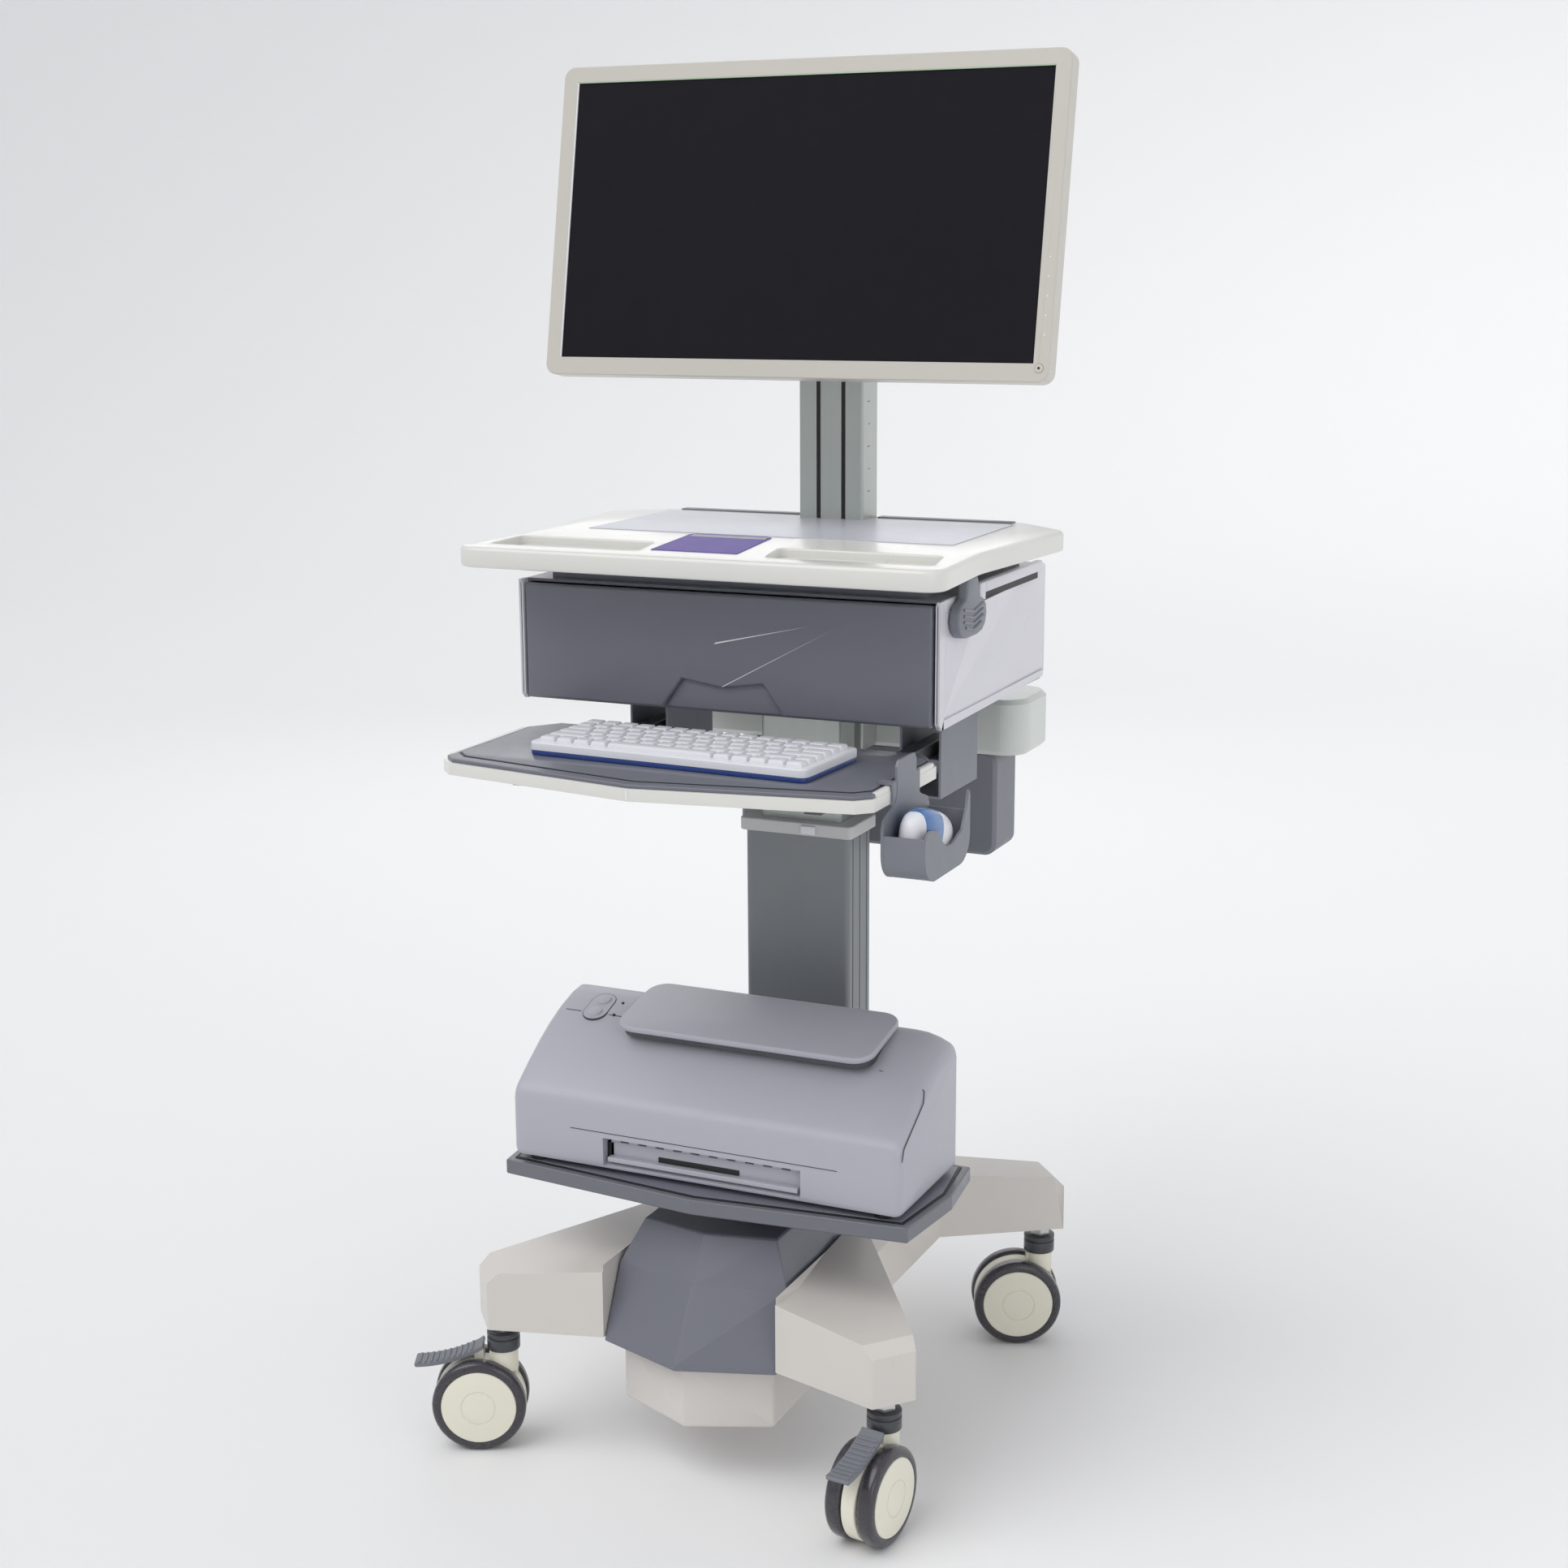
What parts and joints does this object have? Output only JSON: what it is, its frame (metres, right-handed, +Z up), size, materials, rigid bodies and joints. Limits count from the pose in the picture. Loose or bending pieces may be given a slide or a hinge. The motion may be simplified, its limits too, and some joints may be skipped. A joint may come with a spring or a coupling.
{
  "type": "medication cart",
  "caption": "Mobile nursing cart: castered base, gas-lift column, drawer cabinet with work surface, sliding keyboard tray, tilting monitor on a rear column and a printer on a low shelf.",
  "frame": {"origin": "middle of the underside of the overall box, on the floor", "axes": "+Z up, the user stands at -Y facing +Y, the lift lever and the mouse holder are on the +X side"},
  "size_m": [0.5928, 0.6456, 1.4344],
  "materials": {
    "bezel_silver": "smooth",
    "bracket_grey": "smooth",
    "collar_grey": "smooth",
    "column_grey": "smooth",
    "cream": "smooth",
    "dark_steel": "smooth",
    "frame_white": "smooth",
    "handle_pale": "smooth",
    "key_white": "smooth",
    "pale_aluminium": "anodised",
    "panel_white": "smooth",
    "pedal_grey": "ribbed",
    "printer_silver": "smooth",
    "screen_black": "matte",
    "shelf_grey": "smooth",
    "slate": "smooth",
    "steel": "polished",
    "top_white": "smooth",
    "tray_grey": "smooth",
    "tyre_dark": "smooth",
    "weight_white": "painted"
  },
  "bodies": {
    "base": {"base_frame": "frame_white", "base_hood": "slate", "counterweight_box": "weight_white", "lower_column": "column_grey", "column_collar": "collar_grey", "gas_spring_cylinder": "dark_steel", "printer_shelf": "shelf_grey", "printer_body": "printer_silver", "caster_stem_front_left": "steel", "caster_stem_front_right": "steel", "caster_stem_rear_left": "steel", "caster_stem_rear_right": "steel"},
    "lift": {"inner_column": "pale_aluminium", "gas_spring_rod": "steel", "cabinet_shell": "slate", "side_panel_left": "panel_white", "side_panel_right": "panel_white", "work_surface": "top_white", "keyboard_bracket_left": "bracket_grey", "keyboard_bracket_right": "bracket_grey", "rear_handle": "handle_pale", "power_box": "pedal_grey", "monitor_column": "pale_aluminium"},
    "drawer": {"drawer_front": "slate", "drawer_tray": "tray_grey"},
    "lever": {"lift_lever": "pedal_grey"},
    "tray": {"keyboard_tray": "slate", "keyboard": "key_white", "mouse_holder": "pedal_grey"},
    "mouse": {"mouse": "key_white"},
    "carriage": {"monitor_carriage": "dark_steel"},
    "monitor": {"tilt_head": "dark_steel", "monitor_frame": "bezel_silver", "monitor_screen": "screen_black"},
    "monitor_button": {"monitor_power_button": "bezel_silver"},
    "lid": {"printer_lid": "printer_silver"},
    "printer_power": {"printer_power_button": "printer_silver"},
    "printer_feed": {"printer_feed_button": "printer_silver"},
    "caster_front_left": {"caster_yoke_front_left": "cream"},
    "wheel_front_left_a": {"wheel_hub_front_left_a": "cream", "wheel_tyre_front_left_a": "tyre_dark"},
    "wheel_front_left_b": {"wheel_hub_front_left_b": "cream", "wheel_tyre_front_left_b": "tyre_dark"},
    "pedal_front_left": {"brake_pedal_front_left": "pedal_grey"},
    "caster_front_right": {"caster_yoke_front_right": "cream"},
    "wheel_front_right_a": {"wheel_hub_front_right_a": "cream", "wheel_tyre_front_right_a": "tyre_dark"},
    "wheel_front_right_b": {"wheel_hub_front_right_b": "cream", "wheel_tyre_front_right_b": "tyre_dark"},
    "pedal_front_right": {"brake_pedal_front_right": "pedal_grey"},
    "caster_rear_left": {"caster_yoke_rear_left": "cream"},
    "wheel_rear_left_a": {"wheel_hub_rear_left_a": "cream", "wheel_tyre_rear_left_a": "tyre_dark"},
    "wheel_rear_left_b": {"wheel_hub_rear_left_b": "cream", "wheel_tyre_rear_left_b": "tyre_dark"},
    "caster_rear_right": {"caster_yoke_rear_right": "cream"},
    "wheel_rear_right_a": {"wheel_hub_rear_right_a": "cream", "wheel_tyre_rear_right_a": "tyre_dark"},
    "wheel_rear_right_b": {"wheel_hub_rear_right_b": "cream", "wheel_tyre_rear_right_b": "tyre_dark"}
  },
  "joints": [
    {"name": "swivel_front_left", "type": "hinge", "parent": "base", "child": "caster_front_left", "pos_m": [-0.20411, -0.21569, 0.128], "axis": [0, 0, 1], "continuous": true},
    {"name": "spin_front_left_a", "type": "hinge", "parent": "caster_front_left", "child": "wheel_front_left_a", "pos_m": [-0.23528, -0.21037, 0.05], "axis": [0.4226, -0.9063, 0], "continuous": true},
    {"name": "spin_front_left_b", "type": "hinge", "parent": "caster_front_left", "child": "wheel_front_left_b", "pos_m": [-0.22006, -0.24299, 0.05], "axis": [0.4226, -0.9063, 0], "continuous": true},
    {"name": "brake_front_left", "type": "hinge", "parent": "caster_front_left", "child": "pedal_front_left", "pos_m": [-0.22767, -0.22668, 0.103], "axis": [0.4226, -0.9063, 0], "range_deg": [0, 8], "stiffness_Nm_per_rad": 1.5},
    {"name": "swivel_front_right", "type": "hinge", "parent": "base", "child": "caster_front_right", "pos_m": [0.23189, -0.21569, 0.128], "axis": [0, 0, 1], "continuous": true},
    {"name": "spin_front_right_a", "type": "hinge", "parent": "caster_front_right", "child": "wheel_front_right_a", "pos_m": [0.21086, -0.2393, 0.05], "axis": [0.9925, -0.1219, 0], "continuous": true},
    {"name": "spin_front_right_b", "type": "hinge", "parent": "caster_front_right", "child": "wheel_front_right_b", "pos_m": [0.24659, -0.24369, 0.05], "axis": [0.9925, -0.1219, 0], "continuous": true},
    {"name": "brake_front_right", "type": "hinge", "parent": "caster_front_right", "child": "pedal_front_right", "pos_m": [0.22873, -0.2415, 0.103], "axis": [0.9925, -0.1219, 0], "range_deg": [0, 8], "stiffness_Nm_per_rad": 1.5},
    {"name": "swivel_rear_left", "type": "hinge", "parent": "base", "child": "caster_rear_left", "pos_m": [-0.20411, 0.26231, 0.128], "axis": [0, 0, 1], "continuous": true},
    {"name": "spin_rear_left_a", "type": "hinge", "parent": "caster_rear_left", "child": "wheel_rear_left_a", "pos_m": [-0.21762, 0.2909, 0.05], "axis": [-0.5, -0.866, 0], "continuous": true},
    {"name": "spin_rear_left_b", "type": "hinge", "parent": "caster_rear_left", "child": "wheel_rear_left_b", "pos_m": [-0.23562, 0.25972, 0.05], "axis": [-0.5, -0.866, 0], "continuous": true},
    {"name": "swivel_rear_right", "type": "hinge", "parent": "base", "child": "caster_rear_right", "pos_m": [0.23189, 0.26231, 0.128], "axis": [0, 0, 1], "continuous": true},
    {"name": "spin_rear_right_a", "type": "hinge", "parent": "caster_rear_right", "child": "wheel_rear_right_a", "pos_m": [0.20072, 0.26763, 0.05], "axis": [0.4226, -0.9063, 0], "continuous": true},
    {"name": "spin_rear_right_b", "type": "hinge", "parent": "caster_rear_right", "child": "wheel_rear_right_b", "pos_m": [0.21594, 0.23501, 0.05], "axis": [0.4226, -0.9063, 0], "continuous": true},
    {"name": "lift_slide", "type": "slide", "parent": "base", "child": "lift", "axis": [0, 0, 1], "range_m": [-0.12, 0.12]},
    {"name": "drawer_slide", "type": "slide", "parent": "lift", "child": "drawer", "axis": [0, -1, 0], "range_m": [0, 0.22]},
    {"name": "lever_hinge", "type": "hinge", "parent": "lift", "child": "lever", "pos_m": [0.25169, -0.05669, 0.93], "axis": [0, -1, 0], "range_deg": [0, 20], "stiffness_Nm_per_rad": 1.2},
    {"name": "tray_slide", "type": "slide", "parent": "lift", "child": "tray", "axis": [0, -1, 0], "range_m": [-0.1, 0.02]},
    {"name": "mouse_lift", "type": "slide", "parent": "tray", "child": "mouse", "axis": [0, 0, 1], "range_m": [0, 0.1]},
    {"name": "monitor_height", "type": "slide", "parent": "lift", "child": "carriage", "axis": [0, 0, 1], "range_m": [-0.1, 0.025]},
    {"name": "monitor_tilt", "type": "hinge", "parent": "carriage", "child": "monitor", "pos_m": [0.01389, 0.12931, 1.2635], "axis": [1, 0, 0], "range_deg": [-10, 15.6]},
    {"name": "monitor_button_press", "type": "slide", "parent": "monitor", "child": "monitor_button", "axis": [0, 0.9829, -0.184], "range_m": [0, 0.001], "stiffness_N_per_m": 600},
    {"name": "printer_lid_hinge", "type": "hinge", "parent": "base", "child": "lid", "pos_m": [0.01389, -0.02769, 0.4558], "axis": [-1, 0, 0], "range_deg": [0, 95]},
    {"name": "printer_power_press", "type": "slide", "parent": "base", "child": "printer_power", "axis": [0, 0, -1], "range_m": [0, 0.001], "stiffness_N_per_m": 600},
    {"name": "printer_feed_press", "type": "slide", "parent": "base", "child": "printer_feed", "axis": [0, 0, -1], "range_m": [0, 0.001], "stiffness_N_per_m": 600}
  ]
}
